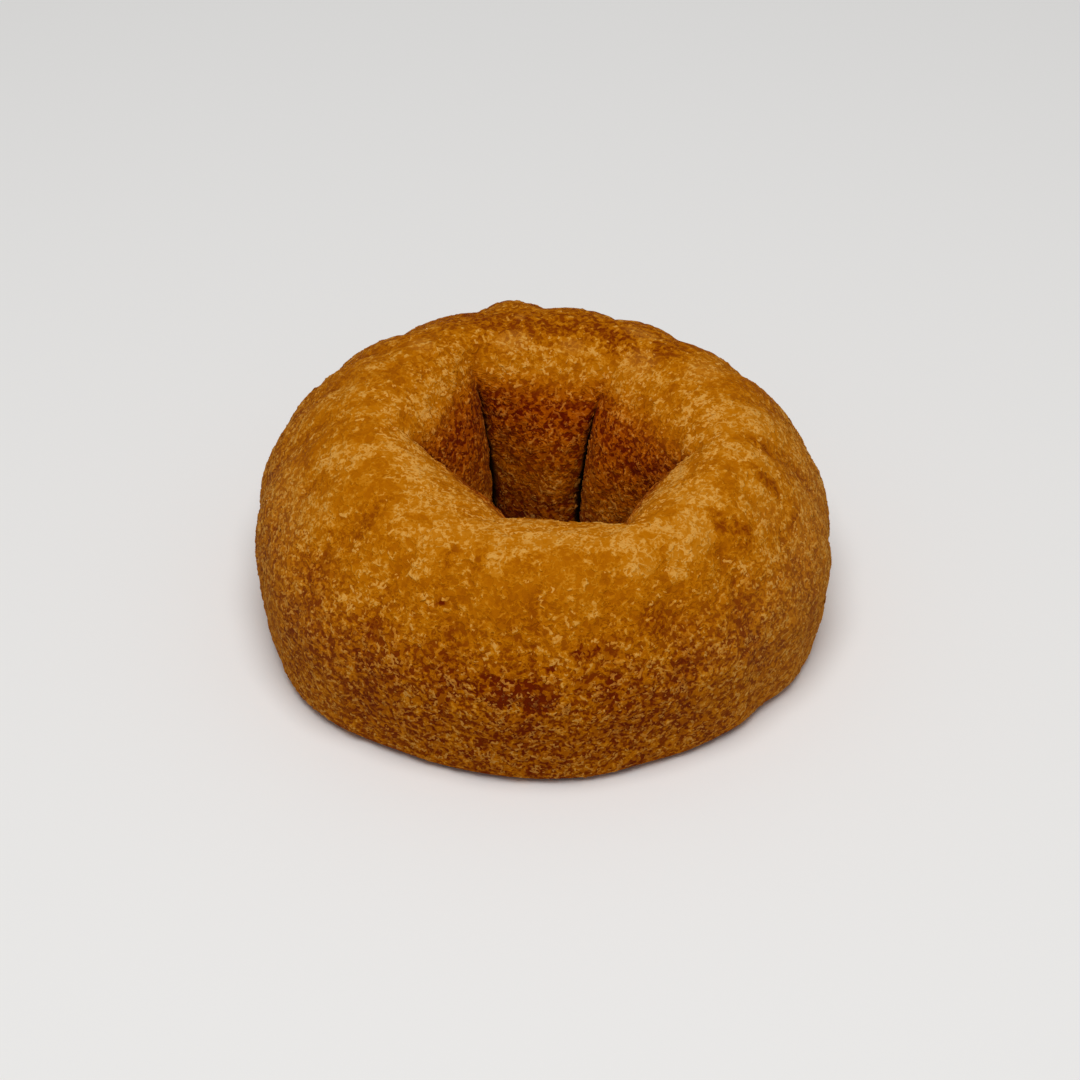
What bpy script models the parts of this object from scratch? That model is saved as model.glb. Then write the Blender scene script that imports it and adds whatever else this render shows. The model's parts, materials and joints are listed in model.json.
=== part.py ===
"""A cake doughnut: one thick fried ring that stands on a flat base.

Its shoulder carries shallow upright flutes. Its hole is a six-sided funnel: six panels of dough bulge
into it and meet in six deep creases. +Z is up, the origin is the middle of the base, and the side
that faces -Y is the front. Angles run anticlockwise from +X, seen from above. All sizes are in metres.
"""

import math

import bpy
import numpy as np

# Driving dimensions of the ring.
OUTER_RADIUS = 0.0401
HEIGHT = 0.0315
CREST_RADIUS = 0.0244
WIDEST_HEIGHT = 0.0122
BASE_MIDDLE_RADIUS = 0.0245
THROAT_RADIUS = 0.0129
THROAT_HEIGHT = 0.0071
BASE_SINK = 0.0004

# The shape of each quarter of the section. A slump flattens an ellipse by that share halfway round,
# and a squareness over 2 makes it boxier than an ellipse.
SHOULDER_SLUMP = 0.07
FUNNEL_SLUMP = -0.01
FOOT_SQUARENESS = 11.0
MOUTH_SQUARENESS = 3.0
FOOT_TAPER = 0.0012
FOOT_TAPER_POWER = 1.5

# The dough was uneven: how many waves go round the ring, the degrees of a crest, and the size. The
# first table is in metres and strays the outline from a circle. The second is a share of the height.
OUTLINE_WAVES = (
    (1, 220.0, 0.00020),
    (2, 130.0, 0.00050),
    (3, 102.0, 0.00085),
    (4, 13.0, 0.00025),
    (5, 17.0, 0.00025),
    (6, 34.0, 0.00045),
)
CREST_WAVES = (
    (1, 160.0, 0.020),
    (2, 168.0, 0.040),
)

# Single hollows low on the wall, and single swellings on the shoulder: the degrees of the middle, the
# half width in degrees, and the depth or the height.
WALL_DENTS = (
    (205.0, 11.0, 0.00040),
    (238.0, 14.0, 0.00035),
    (291.0, 11.0, 0.00040),
    (321.0, 9.0, 0.00070),
)
SHOULDER_SWELLINGS = (
    (15.0, 22.0, 0.00030),
    (62.0, 12.0, 0.00030),
    (98.5, 9.0, 0.00060),
    (141.0, 12.0, 0.00030),
)

# The upright flutes round the shoulder: the degrees where each one starts, and how deep their grooves are.
FLUTE_DEGREES = (
    -6.0, 13.0, 31.0, 50.0, 70.0, 90.0, 107.5, 128.0, 145.0, 161.0,
    178.0, 197.0, 216.0, 234.0, 251.0, 268.0, 284.0, 299.0, 315.0, 333.0,
)
FLUTE_DEPTH = 0.0006

# The hole's folds: where each crease stands, and how far out it reaches as a share of the throat.
CREASE_DEGREES = (-11.0, 61.5, 123.5, 184.0, 249.0, 300.0)
CREASE_REACHES = (1.17, 0.76, 1.15, 1.04, 0.85, 1.33)
PANEL_BULGE = 0.21
PANEL_FULLNESS = 3.5
CREASE_DEPTH = 0.0022
CREASE_HALF_WIDTH = 0.0014
MOUTH_SHIFT = (0.0014, -0.0021)
THROAT_SHIFT = (0.0011, 0.0002)

# Where on the section each effect grows to its full size or fades out, as a span of turns in degrees: 0
# is the widest point, 90 the crest, 180 the throat and 270 the middle of the base.
WALL_DENTS_FADE = (-2.0, 35.0)
FLUTES_GROW = (-25.0, 15.0)
FLUTES_FADE = (60.0, 88.0)
SHIFT_GROWS = (15.0, 100.0)
PANELS_GROW = (92.0, 122.0)
CREASES_GROW = (126.0, 154.0)
FOLDS_FADE = (225.0, 262.0)

# The mesh: the columns round the ring are a whole number for each flute and for each panel.
RING_STEPS = 180
SECTION_STEPS = 32
BEND_CROWDING = 0.004
CREASE_CROWDING = 0.55

CRUST_COLOUR = (0.47, 0.19, 0.030, 1.0)
CRUST_ROUGHNESS = 0.75


def clear_scene():
    """Removes whatever the scene holds."""
    for old in list(bpy.data.objects):
        bpy.data.objects.remove(old)


def grown(turn, span):
    """0 before the span of turns, 1 after it, and an even S between."""
    start, end = math.radians(span[0]), math.radians(span[1])
    share = np.clip((turn - start) / (end - start), 0.0, 1.0)
    return share * share * (3.0 - 2.0 * share)


def squared_quarter(turn, squareness):
    """The two legs, each from 0 to 1, of a boxy rounded corner a quarter turn long."""
    across = np.abs(np.cos(turn)) ** (2.0 / squareness)
    along = np.abs(np.sin(turn)) ** (2.0 / squareness)
    return across, along


def slumped_quarter(turn, slump):
    """The two legs, each from 0 to 1, of a quarter ellipse that is drawn in halfway round."""
    share = 1.0 - slump * np.sin(2.0 * turn) ** 2
    return np.abs(np.cos(turn)) * share, np.abs(np.sin(turn)) * share


def waves_round(angle, table):
    """The sum of a table's waves at each angle."""
    total = np.zeros_like(angle)
    for waves, crest, size in table:
        total += size * np.cos(waves * (angle - math.radians(crest)))
    return total


def mounds_round(angle, table):
    """The sum of a table's mounds at each angle, each one a single smooth rise."""
    total = np.zeros_like(angle)
    for middle, half_width, size in table:
        away = (np.degrees(angle) - middle + 180.0) % 360.0 - 180.0
        total += size * np.cos(np.clip(away / half_width, -1.0, 1.0) * math.pi / 2.0) ** 2
    return total


def section(turn, throat_radius):
    """The ring's section: radius, height, the leg across of the quarter, and the quarter's number.

    turn runs from 0 at the widest point over the crest (a quarter), the throat of the hole (a half)
    and the middle of the base (three quarters).
    """
    shoulder = slumped_quarter(turn, SHOULDER_SLUMP)
    funnel = slumped_quarter(turn, FUNNEL_SLUMP)
    mouth = squared_quarter(turn, MOUTH_SQUARENESS)
    foot = squared_quarter(turn, FOOT_SQUARENESS)
    part = np.clip(turn // (math.pi / 2.0), 0, 3).astype(int)
    radius = np.choose(part, (
        CREST_RADIUS + (OUTER_RADIUS - CREST_RADIUS) * shoulder[0],
        CREST_RADIUS - (CREST_RADIUS - throat_radius) * funnel[0],
        BASE_MIDDLE_RADIUS - (BASE_MIDDLE_RADIUS - throat_radius) * mouth[0],
        BASE_MIDDLE_RADIUS + (OUTER_RADIUS - BASE_MIDDLE_RADIUS) * foot[0],
    ))
    height = np.choose(part, (
        WIDEST_HEIGHT + (HEIGHT - WIDEST_HEIGHT) * shoulder[1],
        THROAT_HEIGHT + (HEIGHT - THROAT_HEIGHT) * funnel[1],
        THROAT_HEIGHT - (THROAT_HEIGHT + BASE_SINK) * mouth[1],
        WIDEST_HEIGHT - (WIDEST_HEIGHT + BASE_SINK) * foot[1],
    ))
    across = np.choose(part, (shoulder[0], funnel[0], mouth[0], foot[0]))
    drawn_in = np.clip(1.0 - height / WIDEST_HEIGHT, 0.0, 1.0) ** FOOT_TAPER_POWER
    radius = radius - np.where(part == 3, FOOT_TAPER * drawn_in * across, 0.0)
    return radius, np.maximum(height, 0.0), across, part


def even_turns(count):
    """Turns that space a section's points evenly, and closer together where the section bends."""
    fine = np.linspace(0.0, 2.0 * math.pi, 100 * count + 1)
    radius, height = section(fine, THROAT_RADIUS)[:2]
    steps_out, steps_up = np.diff(radius), np.diff(height)
    heading = np.unwrap(np.arctan2(steps_up, steps_out))
    bend = np.abs(np.diff(heading, prepend=heading[0]))
    travelled = np.cumsum(np.hypot(steps_out, steps_up) + BEND_CROWDING * bend)
    wanted = travelled[-1] * np.arange(count) / count
    return np.interp(wanted, np.concatenate([[0.0], travelled]), fine)


def shared_out(column, degrees, crowding):
    """Shares the columns out equally between stops round the ring.

    Gives for each column the stop before it, how far across it is to the next one, and its angle. The
    columns crowd towards the stops.
    """
    steps = RING_STEPS / len(degrees)
    before = np.floor(column / steps).astype(int)
    across = column / steps - before
    across = across - crowding * np.sin(2.0 * math.pi * across) / (2.0 * math.pi)
    stops = np.radians(degrees + (degrees[0] + 360.0,))
    return before, across, stops[before] + (stops[before + 1] - stops[before]) * across


def throat_reach(crease, across):
    """How far out the throat's wall stands, and the angle from there to the nearer crease.

    The reach follows the straight chord between two creases and then bulges inwards in the middle.
    """
    creases = np.radians(CREASE_DEGREES + (CREASE_DEGREES[0] + 360.0,))
    reaches = np.array(CREASE_REACHES + CREASE_REACHES[:1])
    width = creases[crease + 1] - creases[crease]
    near, far = reaches[crease], reaches[crease + 1]
    chord = near * far * np.sin(width)
    chord /= near * np.sin(width * across) + far * np.sin(width * (1.0 - across))
    bulge = PANEL_BULGE * (1.0 - np.abs(2.0 * across - 1.0) ** PANEL_FULLNESS)
    return chord - bulge, np.minimum(across, 1.0 - across) * width


def doughnut_points(column, turn):
    """Where the vertex at this column of the ring and this turn of the section lies."""
    _, flute_across, around = shared_out(column, FLUTE_DEGREES, 0.0)
    crease, crease_across, crease_around = shared_out(column, CREASE_DEGREES, CREASE_CROWDING)
    reach, from_crease = throat_reach(crease, crease_across)
    radius, height, across, part = section(turn, THROAT_RADIUS * reach)
    outside = np.where(turn > math.pi, turn - 2.0 * math.pi, turn)
    lean_out, lean_up = np.cos(outside), np.sin(np.clip(outside, 0.0, math.pi / 2.0))

    # The outline strays from a circle and is dented low down, and the crest strays from one height.
    outer = np.where((part == 0) | (part == 3), across, 0.0)
    low = 1.0 - grown(outside, WALL_DENTS_FADE)
    radius += outer * (waves_round(around, OUTLINE_WAVES) - low * mounds_round(around, WALL_DENTS))
    height += np.maximum(height - WIDEST_HEIGHT, 0.0) * waves_round(around, CREST_WAVES)

    # Swellings stand on the shoulder, and grooves part the flutes, from the widest point to the crest.
    fluted = grown(outside, FLUTES_GROW) * (1.0 - grown(outside, FLUTES_FADE))
    groove = FLUTE_DEPTH * (1.0 - np.sin(math.pi * flute_across))
    raised = fluted * (mounds_round(around, SHOULDER_SWELLINGS) - groove)
    radius += raised * lean_out
    height += raised * lean_up

    # Inside the hole the columns lean towards the creases, and each crease is a narrow cleft.
    folded = 1.0 - grown(turn, FOLDS_FADE)
    angle = around + grown(turn, PANELS_GROW) * folded * (crease_around - around)
    cleft = np.clip(1.0 - from_crease * radius / CREASE_HALF_WIDTH, 0.0, 1.0) ** 2
    radius += CREASE_DEPTH * cleft * grown(turn, CREASES_GROW) * folded

    # The hole is off the middle, by one distance at its mouth and another at its throat.
    shifted = grown(turn, SHIFT_GROWS) * np.choose(part, (1.0, 1.0, across, 0.0))
    throat = np.choose(part, (0.0, across, 1.0, 1.0))
    shift_x = shifted * (MOUTH_SHIFT[0] + (THROAT_SHIFT[0] - MOUTH_SHIFT[0]) * throat)
    shift_y = shifted * (MOUTH_SHIFT[1] + (THROAT_SHIFT[1] - MOUTH_SHIFT[1]) * throat)
    x = radius * np.cos(angle) + shift_x
    y = radius * np.sin(angle) + shift_y
    return np.stack([x, y, height], axis=1)


def crust_material():
    """The golden brown crust."""
    material = bpy.data.materials.new("crust")
    material.use_nodes = True
    shader = material.node_tree.nodes["Principled BSDF"]
    shader.inputs["Base Color"].default_value = CRUST_COLOUR
    shader.inputs["Roughness"].default_value = CRUST_ROUGHNESS
    shader.inputs["Metallic"].default_value = 0.0
    return material


def make_doughnut(collection):
    """A torus whose every vertex is moved to its place on the doughnut."""
    middle_radius = (OUTER_RADIUS + THROAT_RADIUS) / 2.0
    bpy.ops.mesh.primitive_torus_add(
        major_segments=RING_STEPS,
        minor_segments=SECTION_STEPS,
        major_radius=middle_radius,
        minor_radius=OUTER_RADIUS - middle_radius,
    )
    doughnut = bpy.context.object
    doughnut.name = "doughnut"
    doughnut.data.name = "doughnut"
    index = np.arange(len(doughnut.data.vertices))
    column = (index // SECTION_STEPS).astype(float)
    turn = even_turns(SECTION_STEPS)[index % SECTION_STEPS]
    points = doughnut_points(column, turn)
    points[:, :2] -= (points[:, :2].min(axis=0) + points[:, :2].max(axis=0)) / 2.0
    doughnut.data.vertices.foreach_set("co", points.ravel())
    doughnut.data.update()
    doughnut.data.materials.append(crust_material())
    doughnut.data.shade_smooth()
    for owner in list(doughnut.users_collection):
        owner.objects.unlink(doughnut)
    collection.objects.link(doughnut)
    return doughnut


def main():
    clear_scene()
    collection = bpy.data.collections.new("cake_doughnut")
    bpy.context.scene.collection.children.link(collection)
    make_doughnut(collection)


main()
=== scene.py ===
"""A plain cake doughnut, dressed to match its photograph.

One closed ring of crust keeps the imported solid's form at a finer pitch, and Geometry Nodes raise its
relief and scatter its loose crumb. Lengths are metres, angles are degrees, and colours are linear.
"""

import json
import logging
import math
from dataclasses import dataclass
from enum import Enum

import bpy
import numpy as np
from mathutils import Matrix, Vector

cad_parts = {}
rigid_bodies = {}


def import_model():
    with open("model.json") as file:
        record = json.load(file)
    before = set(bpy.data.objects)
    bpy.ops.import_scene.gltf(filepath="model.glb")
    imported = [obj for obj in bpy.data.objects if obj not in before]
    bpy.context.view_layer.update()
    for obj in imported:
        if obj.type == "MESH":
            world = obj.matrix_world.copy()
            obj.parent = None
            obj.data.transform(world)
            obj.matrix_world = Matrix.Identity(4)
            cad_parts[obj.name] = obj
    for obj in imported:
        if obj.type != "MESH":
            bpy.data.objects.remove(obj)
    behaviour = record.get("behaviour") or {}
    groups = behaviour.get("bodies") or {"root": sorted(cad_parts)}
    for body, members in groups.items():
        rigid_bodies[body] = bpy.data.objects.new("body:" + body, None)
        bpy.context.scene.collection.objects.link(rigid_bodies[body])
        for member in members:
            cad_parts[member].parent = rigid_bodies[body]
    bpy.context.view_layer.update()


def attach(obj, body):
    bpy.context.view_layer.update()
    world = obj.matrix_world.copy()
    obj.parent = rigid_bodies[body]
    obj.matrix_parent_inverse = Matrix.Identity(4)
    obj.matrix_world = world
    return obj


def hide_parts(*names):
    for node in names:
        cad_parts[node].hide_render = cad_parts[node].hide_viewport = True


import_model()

NODE = "doughnut"
BODY = "root"

Colour = tuple[float, float, float]
Place = tuple[float, float, float]
Socket = bpy.types.NodeSocket
# The kinds of the sockets that aren't plain numbers, by their names.
SOCKET_KINDS = {
    "Geometry": "NodeSocketGeometry", "Place": "NodeSocketVector", "Colour": "NodeSocketColor",
}
QUARTER = math.pi / 2.0
# Keeps a column that stands on a stop from slipping to the stretch before it.
ROUNDING = 1e-9
# The middle of a noise pattern's range.
MIDDLE = 0.5
log = logging.getLogger("doughnut")


@dataclass(frozen=True)
class Span:
    """A stretch of one measure over which an effect grows from nothing to all of it."""

    start: float
    end: float

    def grown(self, value: np.ndarray) -> np.ndarray:
        """0 before the start, 1 after the end, and an even S between."""
        share = np.clip((value - self.start) / (self.end - self.start), 0.0, 1.0)
        return share * share * (3.0 - 2.0 * share)

    def faded(self, value: np.ndarray) -> np.ndarray:
        """1 before the start and 0 after the end."""
        return 1.0 - self.grown(value)


WHOLE = Span(0.0, 1.0)


@dataclass(frozen=True)
class Band:
    """A stretch of one measure over which an effect grows and then fades again."""

    grows: Span
    fades: Span

    def within(self, value: np.ndarray) -> np.ndarray:
        """1 inside the band and 0 outside it."""
        return self.grows.grown(value) * self.fades.faded(value)


@dataclass(frozen=True)
class Wave:
    """One wave round the ring: how many crests, the degrees of one of them, and the size."""

    crests: int
    degrees: float
    size: float


@dataclass(frozen=True)
class Mound:
    """One smooth rise or hollow round the ring: its middle and half width in degrees, and its size."""

    degrees: float
    half_width: float
    size: float


@dataclass(frozen=True)
class Pattern:
    """One noise pattern.

    Attributes:
        size: how large its features are, in metres.
        detail: how many finer octaves it has.
        roughness: how strong those are.
        warp: how much it is distorted.
        seed: which of its layouts it is.
    """

    size: float
    detail: float
    roughness: float
    warp: float = 0.0
    seed: float = 0.0


@dataclass
class Surface:
    """Points on the ring and what the crust's relief and colours go by there.

    Attributes:
        place: the points, as rows of x, y and z.
        around: degrees round the ring.
        turn: degrees round the section: 0 widest, 90 crest, 180 throat, 270 base.
        crest: 0 in the groove between two flutes and 1 on a flute.
        fluted: how far the flutes reach here.
        crease_gap: metres to the nearest crease of the hole.
        folded: how far the creases reach here.
    """

    place: np.ndarray
    around: np.ndarray
    turn: np.ndarray
    crest: np.ndarray
    fluted: np.ndarray
    crease_gap: np.ndarray
    folded: np.ndarray


@dataclass(frozen=True)
class RingForm:
    """The doughnut's form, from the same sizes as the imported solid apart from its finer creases."""

    outer_radius: float = 0.0401
    height: float = 0.0315
    crest_radius: float = 0.0244
    widest_height: float = 0.0122
    base_middle_radius: float = 0.0245
    throat_radius: float = 0.0129
    throat_height: float = 0.0071
    base_sink: float = 0.0004
    shoulder_slump: float = 0.07
    funnel_slump: float = -0.01
    foot_squareness: float = 11.0
    mouth_squareness: float = 3.0
    foot_taper: float = 0.0012
    foot_taper_power: float = 1.5
    outline_waves: tuple[Wave, ...] = (
        Wave(1, 220.0, 0.00020), Wave(2, 130.0, 0.00050), Wave(3, 102.0, 0.00085),
        Wave(4, 13.0, 0.00025), Wave(5, 17.0, 0.00025), Wave(6, 34.0, 0.00045),
    )
    crest_waves: tuple[Wave, ...] = (Wave(1, 160.0, 0.020), Wave(2, 168.0, 0.040))
    wall_dents: tuple[Mound, ...] = (
        Mound(205.0, 11.0, 0.00040), Mound(238.0, 14.0, 0.00035),
        Mound(291.0, 11.0, 0.00040), Mound(321.0, 9.0, 0.00070),
    )
    swellings: tuple[Mound, ...] = (
        Mound(15.0, 22.0, 0.00030), Mound(62.0, 12.0, 0.00030),
        Mound(98.5, 9.0, 0.00060), Mound(141.0, 12.0, 0.00030),
    )
    flutes: tuple[float, ...] = (
        -6.0, 13.0, 31.0, 50.0, 70.0, 90.0, 107.5, 128.0, 145.0, 161.0,
        178.0, 197.0, 216.0, 234.0, 251.0, 268.0, 284.0, 299.0, 315.0, 333.0,
    )
    flute_depth: float = 0.0006
    creases: tuple[float, ...] = (-11.0, 61.5, 123.5, 184.0, 249.0, 300.0)
    crease_reaches: tuple[float, ...] = (1.17, 0.76, 1.15, 1.04, 0.85, 1.33)
    panel_bulge: float = 0.21
    panel_fullness: float = 3.5
    crease_depth: float = 0.0020
    crease_half_width: float = 0.0006
    crease_crowding: float = 0.55
    mouth_shift: tuple[float, float] = (0.0014, -0.0021)
    throat_shift: tuple[float, float] = (0.0011, 0.0002)
    dents_fade: Span = Span(-2.0, 35.0)
    fluted_shoulder: Band = Band(Span(-25.0, 15.0), Span(60.0, 88.0))
    shift_grows: Span = Span(15.0, 100.0)
    panels_grow: Span = Span(92.0, 122.0)
    creases_grow: Span = Span(126.0, 154.0)
    folds_fade: Span = Span(225.0, 262.0)
    solid_ring_steps: int = 180
    solid_section_steps: int = 32
    measuring_steps: int = 100
    bend_crowding: float = 0.004

    def section(self, turn: np.ndarray, throat: np.ndarray | float) -> tuple[np.ndarray, ...]:
        """The ring's section at each turn.

        Args:
            turn: radians round the section.
            throat: the throat's radius there.

        Returns:
            The radius, the height, how far across its quarter the point is, and the quarter's number.
        """
        def squared(power: float) -> tuple[np.ndarray, np.ndarray]:
            """A quarter of a squared oval, out and up."""
            return np.abs(np.cos(turn)) ** (2.0 / power), np.abs(np.sin(turn)) ** (2.0 / power)

        def slumped(slump: float) -> tuple[np.ndarray, np.ndarray]:
            """A quarter of an oval that sags in its middle, out and up."""
            share = 1.0 - slump * np.sin(2.0 * turn) ** 2
            return np.abs(np.cos(turn)) * share, np.abs(np.sin(turn)) * share

        shoulder, funnel = slumped(self.shoulder_slump), slumped(self.funnel_slump)
        mouth, foot = squared(self.mouth_squareness), squared(self.foot_squareness)
        part = np.clip(turn // QUARTER, 0, 3).astype(int)
        radius = np.choose(part, (
            self.crest_radius + (self.outer_radius - self.crest_radius) * shoulder[0],
            self.crest_radius - (self.crest_radius - throat) * funnel[0],
            self.base_middle_radius - (self.base_middle_radius - throat) * mouth[0],
            self.base_middle_radius + (self.outer_radius - self.base_middle_radius) * foot[0],
        ))
        height = np.choose(part, (
            self.widest_height + (self.height - self.widest_height) * shoulder[1],
            self.throat_height + (self.height - self.throat_height) * funnel[1],
            self.throat_height - (self.throat_height + self.base_sink) * mouth[1],
            self.widest_height - (self.widest_height + self.base_sink) * foot[1],
        ))
        across = np.choose(part, (shoulder[0], funnel[0], mouth[0], foot[0]))
        drawn_in = np.clip(1.0 - height / self.widest_height, 0.0, 1.0) ** self.foot_taper_power
        radius = radius - np.where(part == 3, self.foot_taper * drawn_in * across, 0.0)
        return radius, np.maximum(height, 0.0), across, part

    def even_turns(self, count: int) -> np.ndarray:
        """Turns that space a section's points evenly, and closer together where the section bends.

        Args:
            count: how many points the section has.

        Returns:
            The turns, in radians.
        """
        fine = np.linspace(0.0, 2.0 * math.pi, self.measuring_steps * count + 1)
        radius, height = self.section(fine, self.throat_radius)[:2]
        out, up = np.diff(radius), np.diff(height)
        heading = np.unwrap(np.arctan2(up, out))
        bend = np.abs(np.diff(heading, prepend=heading[0]))
        travelled = np.cumsum(np.hypot(out, up) + self.bend_crowding * bend)
        wanted = travelled[-1] * np.arange(count) / count
        return np.interp(wanted, np.concatenate([[0.0], travelled]), fine)

    def points(self, ring_share: np.ndarray, turn: np.ndarray) -> Surface:
        """Points on the doughnut before it is centred on the origin.

        Args:
            ring_share: how far round the ring's columns each point is, from 0 to 1.
            turn: radians round the section.

        Returns:
            The surface there.
        """
        _, flute_across, around = self._shared_out(ring_share, self.flutes, 0.0)
        crease, crease_across, crease_around = self._shared_out(
            ring_share, self.creases, self.crease_crowding
        )
        reach, from_crease = self._throat_reach(crease, crease_across)
        radius, height, across, part = self.section(turn, self.throat_radius * reach)
        turn_degrees = np.degrees(turn)
        outside = np.where(turn > math.pi, turn - 2.0 * math.pi, turn)
        outside_degrees = np.degrees(outside)
        lean_out, lean_up = np.cos(outside), np.sin(np.clip(outside, 0.0, QUARTER))

        # The outline strays from a circle, the wall is dented, and the crest isn't level.
        outer = np.where((part == 0) | (part == 3), across, 0.0)
        low = self.dents_fade.faded(outside_degrees)
        strays = self._waves(around, self.outline_waves) - low * self._mounds(around, self.wall_dents)
        radius = radius + outer * strays
        lift = np.maximum(height - self.widest_height, 0.0)
        height = height + lift * self._waves(around, self.crest_waves)

        # The flutes stand out of the shoulder, and some of them swell.
        fluted = self.fluted_shoulder.within(outside_degrees)
        crest = np.sin(math.pi * flute_across)
        raised = fluted * (self._mounds(around, self.swellings) - self.flute_depth * (1.0 - crest))
        radius = radius + raised * lean_out
        height = height + raised * lean_up

        # Inside the hole the columns lean towards the creases, and each crease is a narrow cleft.
        unfolded = self.folds_fade.faded(turn_degrees)
        angle = around + self.panels_grow.grown(turn_degrees) * unfolded * (crease_around - around)
        crease_gap = from_crease * radius
        cleft = np.clip(1.0 - crease_gap / self.crease_half_width, 0.0, 1.0) ** 2
        folded = unfolded * self.creases_grow.grown(turn_degrees)
        radius = radius + self.crease_depth * cleft * folded

        # The mouth and the throat each have a middle of their own.
        shifted = self.shift_grows.grown(turn_degrees) * np.choose(part, (1.0, 1.0, across, 0.0))
        throat = np.choose(part, (0.0, across, 1.0, 1.0))
        shift_x, shift_y = (
            shifted * (mouth + (deep - mouth) * throat)
            for mouth, deep in zip(self.mouth_shift, self.throat_shift)
        )
        place = np.stack(
            [radius * np.cos(angle) + shift_x, radius * np.sin(angle) + shift_y, height], axis=1
        )
        return Surface(
            place, np.degrees(angle), turn_degrees, crest, fluted, crease_gap, folded
        )

    def centre(self) -> np.ndarray:
        """The middle, in x and y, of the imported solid's own vertices before they were centred.

        Returns:
            The two numbers.
        """
        columns, rows = self.solid_ring_steps, self.solid_section_steps
        index = np.arange(columns * rows)
        turn = self.even_turns(rows)[index % rows]
        place = self.points((index // rows) / columns, turn).place
        return (place[:, :2].min(axis=0) + place[:, :2].max(axis=0)) / 2.0

    def spot(self, degrees: float, turn: float) -> np.ndarray:
        """One point on the centred doughnut.

        Args:
            degrees: how far round the ring it is.
            turn: how far round the section, in degrees.

        Returns:
            Its x, y and z.
        """
        stops = np.array(self.flutes + (self.flutes[0] + 360.0,))
        wrapped = (degrees - self.flutes[0]) % 360.0 + self.flutes[0]
        share = float(np.interp(wrapped, stops, np.linspace(0.0, 1.0, len(stops))))
        place = self.points(np.array([share]), np.radians([turn])).place[0]
        place[:2] -= self.centre()
        return place

    @staticmethod
    def _waves(around: np.ndarray, waves: tuple[Wave, ...]) -> np.ndarray:
        """The sum of the waves at each angle in radians."""
        return sum(w.size * np.cos(w.crests * (around - math.radians(w.degrees))) for w in waves)

    @staticmethod
    def _mounds(around: np.ndarray, mounds: tuple[Mound, ...]) -> np.ndarray:
        """The sum of the mounds.

        Args:
            around: the angles round the ring, in radians.
            mounds: the mounds.

        Returns:
            The sum at each angle.
        """
        total = np.zeros_like(around)
        for mound in mounds:
            away = (np.degrees(around) - mound.degrees + 180.0) % 360.0 - 180.0
            across = np.clip(away / mound.half_width, -1.0, 1.0)
            total += mound.size * np.cos(across * QUARTER) ** 2
        return total

    @staticmethod
    def _shared_out(
        share: np.ndarray, degrees: tuple[float, ...], crowding: float
    ) -> tuple[np.ndarray, np.ndarray, np.ndarray]:
        """Shares the columns out equally between stops round the ring.

        Args:
            share: how far round the ring's columns, from 0 to 1.
            degrees: where the stops are.
            crowding: how much the columns crowd towards the stops.

        Returns:
            The stop before each column, how far across it is to the next one, and its angle in radians.
        """
        steps = share * len(degrees)
        before = np.floor(steps + ROUNDING).astype(int) % len(degrees)
        across = np.clip(steps - np.floor(steps + ROUNDING), 0.0, 1.0)
        across = across - crowding * np.sin(2.0 * math.pi * across) / (2.0 * math.pi)
        stops = np.radians(degrees + (degrees[0] + 360.0,))
        return before, across, stops[before] + (stops[before + 1] - stops[before]) * across

    def _throat_reach(self, crease: np.ndarray, across: np.ndarray) -> tuple[np.ndarray, np.ndarray]:
        """How far out the throat's wall stands: on the chord between two creases, and then bulging in.

        Args:
            crease: the crease before each point.
            across: how far each point is from there to the next one, from 0 to 1.

        Returns:
            The reach as a share of the throat's radius, and the radians to the nearer crease.
        """
        creases = np.radians(self.creases + (self.creases[0] + 360.0,))
        reaches = np.array(self.crease_reaches + self.crease_reaches[:1])
        width = creases[crease + 1] - creases[crease]
        near, far = reaches[crease], reaches[crease + 1]
        chord = near * far * np.sin(width)
        chord /= near * np.sin(width * across) + far * np.sin(width * (1.0 - across))
        bulge = self.panel_bulge * (1.0 - np.abs(2.0 * across - 1.0) ** self.panel_fullness)
        return chord - bulge, np.minimum(across, 1.0 - across) * width


class Trait(Enum):
    """What the vertices of the crust or of its loose crumb carry, as the name of each attribute."""

    FREE = "free"
    # How much darker the crust is: browning, and painted shade on the lower wall, in the hole and on the
    # back.
    BROWNED_AND_SHADED = "browned"
    BARE = "bare"
    # Pale patches, and a painted pale sheen on the left and right sides.
    PALE = "pale"
    # How far the hole's wall is darkened and reddened, partly browning and partly painted shade.
    HOLE = "in_hole"
    # A painted black shadow deep in the hole's creases.
    CREASE = "crease"
    GROOVE = "groove"
    FRIED = "fried_dark"
    CRUMBED = "crumbed"
    CRUMB = "crumb_tint"


# The traits that the crust's colours go by.
TONED = (
    Trait.BROWNED_AND_SHADED, Trait.BARE, Trait.PALE, Trait.HOLE, Trait.GROOVE, Trait.FRIED, Trait.CRUMB,
)


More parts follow.
